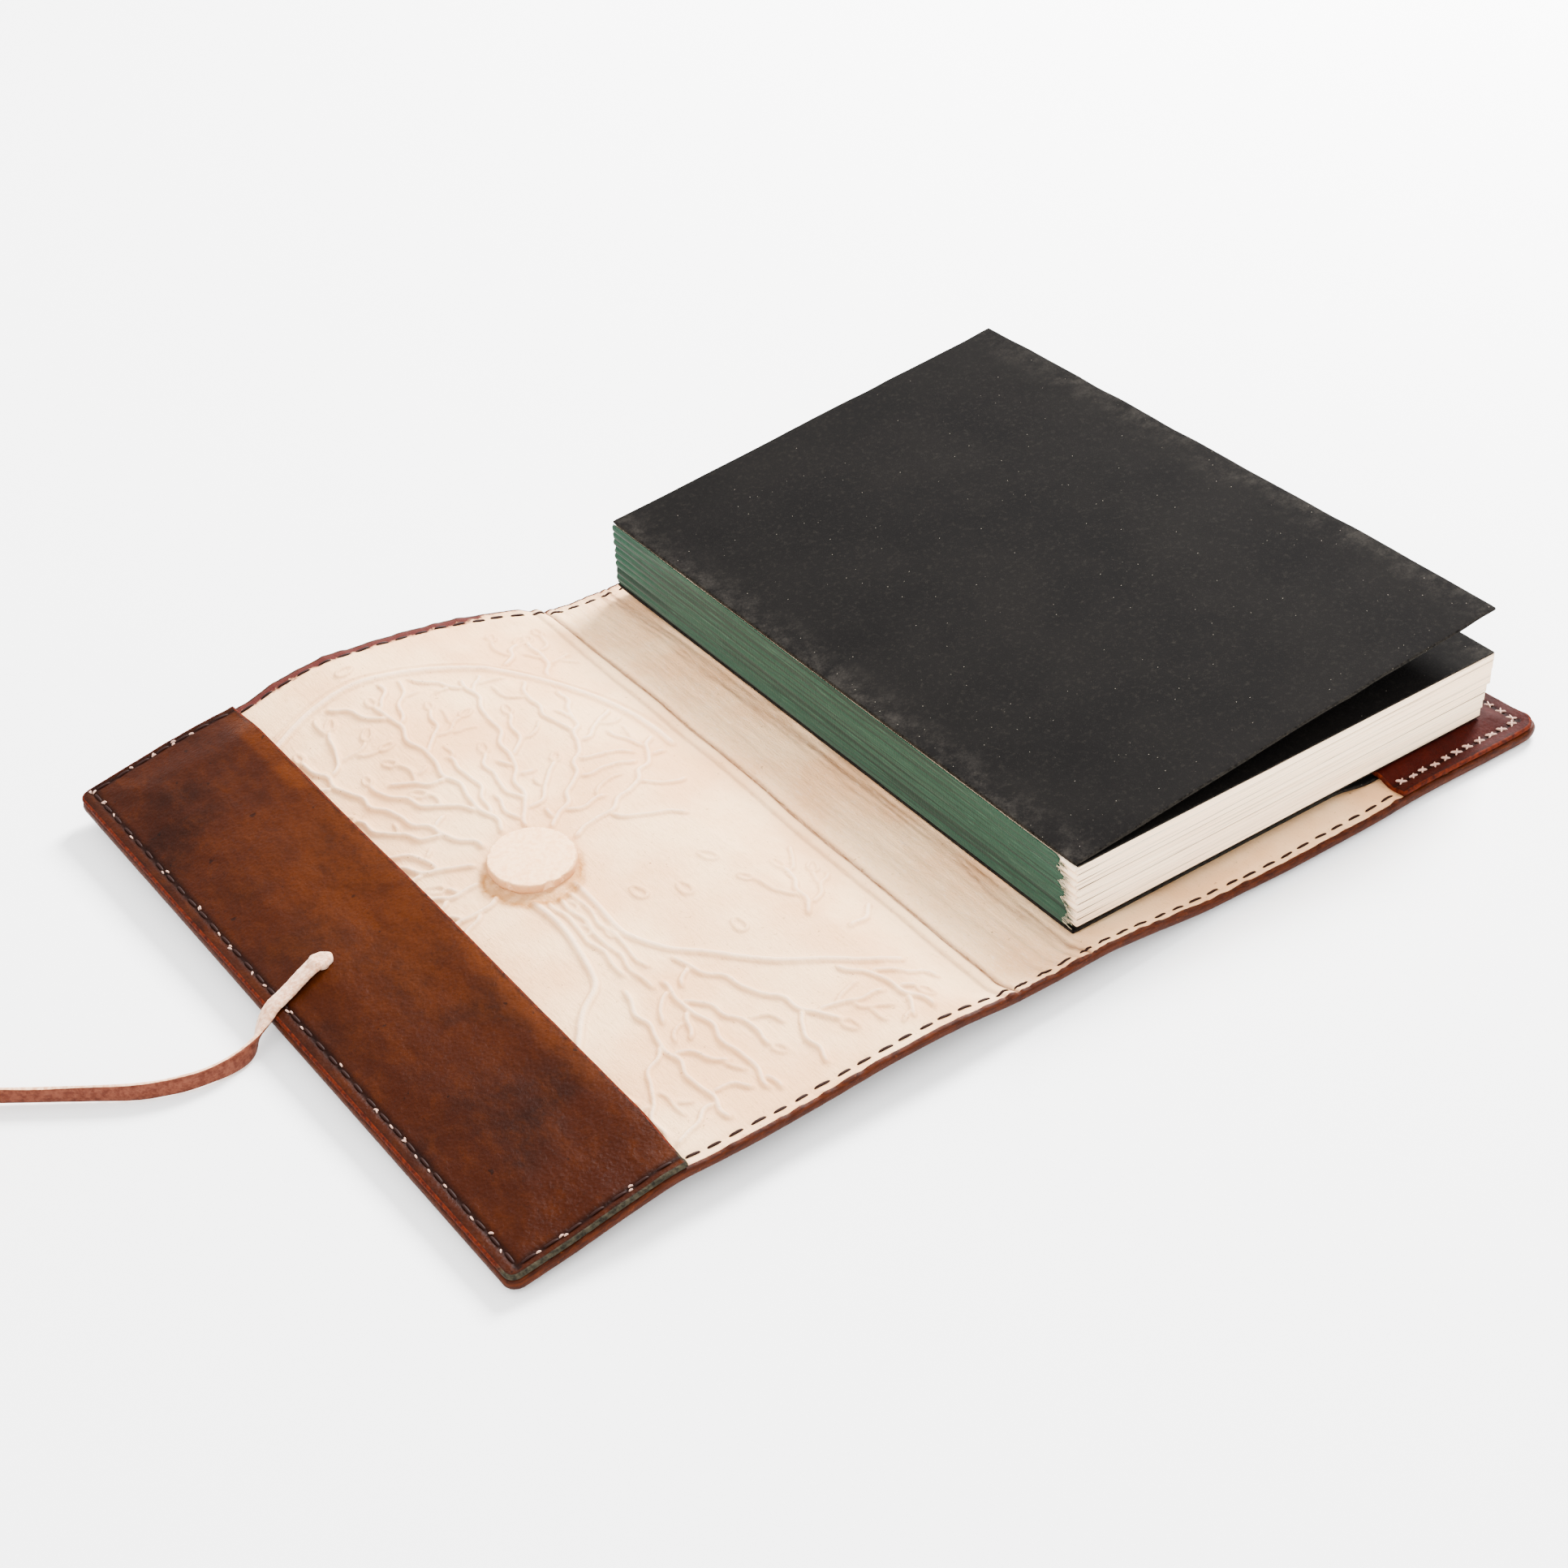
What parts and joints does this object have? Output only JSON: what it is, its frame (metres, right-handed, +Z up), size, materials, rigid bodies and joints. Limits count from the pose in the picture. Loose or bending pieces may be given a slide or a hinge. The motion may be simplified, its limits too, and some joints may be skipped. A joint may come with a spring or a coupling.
{
  "type": "leather notebook cover",
  "caption": "Refillable leather notebook cover lying open, with stitched pockets, a stone-set front panel, a thong tie and a sewn notebook held in the right pocket.",
  "frame": {"origin": "centre of the open leather cover, on the surface it lies on", "axes": "+X across the open cover towards the notebook's fore edge, +Y along the spine towards the far edge, +Z up"},
  "size_m": [0.3963, 0.191, 0.0352],
  "materials": {
    "flesh_leather": "undyed flesh side, fine nap, pressed relief",
    "brown_leather": "hand-dyed mottled brown, semi-gloss",
    "red_leather": "hand-dyed reddish brown, semi-gloss",
    "lace_leather": "split lace, pale flesh side and red-brown grain side",
    "waxed_thread": "waxed dark brown thread",
    "pale_thread": "pale waxed thread",
    "stone": "polished blue cabochon",
    "black_card": "matt charcoal board",
    "paper": "uncoated off-white leaves",
    "green_cloth": "fine green book cloth",
    "sewing_thread": "linen binding thread"
  },
  "bodies": {
    "cover_back": {"back_panel": "flesh_leather", "right_pocket": "red_leather", "right_pocket_seam": "pale_thread", "back_seam_near": "waxed_thread", "back_seam_far": "waxed_thread"},
    "cover_spine": {"spine_panel": "flesh_leather", "spine_seam_near": "waxed_thread", "spine_seam_far": "waxed_thread"},
    "cover_front_inner": {"front_panel_inner": "flesh_leather", "inner_seam_near": "waxed_thread", "inner_seam_far": "waxed_thread", "backing_disc": "flesh_leather", "stone": "stone", "stone_bezel": "brown_leather"},
    "cover_front_outer": {"front_panel_outer": "flesh_leather", "left_pocket": "brown_leather", "left_pocket_seam": "pale_thread", "outer_seam_near": "waxed_thread", "outer_seam_far": "waxed_thread", "thong_knob": "lace_leather", "thong_anchor": "lace_leather"},
    "thong": {"thong_tail": "lace_leather", "thong_coil": "lace_leather", "thong_tie": "lace_leather"},
    "notebook": {"back_cover": "black_card", "back_endpaper": "black_card", "signature_1": "paper", "signature_2": "paper", "signature_3": "paper", "signature_4": "paper", "signature_5": "paper", "spine_tape_lower": "green_cloth", "sewing_thread_lower_1": "sewing_thread", "sewing_thread_lower_2": "sewing_thread", "sewing_thread_lower_3": "sewing_thread"},
    "leaves": {"signature_6": "paper", "signature_7": "paper", "signature_8": "paper", "front_flyleaf": "black_card", "spine_tape_upper": "green_cloth", "sewing_thread_upper_1": "sewing_thread", "sewing_thread_upper_2": "sewing_thread", "sewing_thread_upper_3": "sewing_thread"},
    "notebook_cover": {"front_cover": "black_card"}
  },
  "joints": [
    {"name": "spine_fold", "type": "hinge", "parent": "cover_back", "child": "cover_spine", "pos_m": [0.0064, 0, 0.005], "axis": [0, 1, 0], "range_deg": [0, 88]},
    {"name": "front_fold", "type": "hinge", "parent": "cover_spine", "child": "cover_front_inner", "pos_m": [-0.0134, 0, 0.005], "axis": [0, 1, 0], "range_deg": [0, 76]},
    {"name": "front_flex", "type": "hinge", "parent": "cover_front_inner", "child": "cover_front_outer", "pos_m": [-0.08502, 0, 0.0124], "axis": [0, 1, 0], "range_deg": [0, 15.3]},
    {"name": "thong_lift", "type": "hinge", "parent": "cover_front_outer", "child": "thong", "pos_m": [-0.1396, 0, 0.0084], "axis": [0, -1, 0], "range_deg": [-60, 0]},
    {"name": "notebook_slide", "type": "slide", "parent": "cover_back", "child": "notebook", "axis": [1, 0, 0], "range_m": [-0.019, 0]},
    {"name": "leaves_turn", "type": "hinge", "parent": "notebook", "child": "leaves", "pos_m": [0.00692, 0, 0.01692], "axis": [0, 1, 0], "range_deg": [-65, 0]},
    {"name": "notebook_cover_hinge", "type": "hinge", "parent": "leaves", "child": "notebook_cover", "pos_m": [0.00719, 0, 0.02355], "axis": [0, 1, 0], "range_deg": [-100, 5.3]}
  ],
  "couplings": [
    {"joint": "front_flex", "follows": "front_fold", "ratio": 0.201}
  ]
}
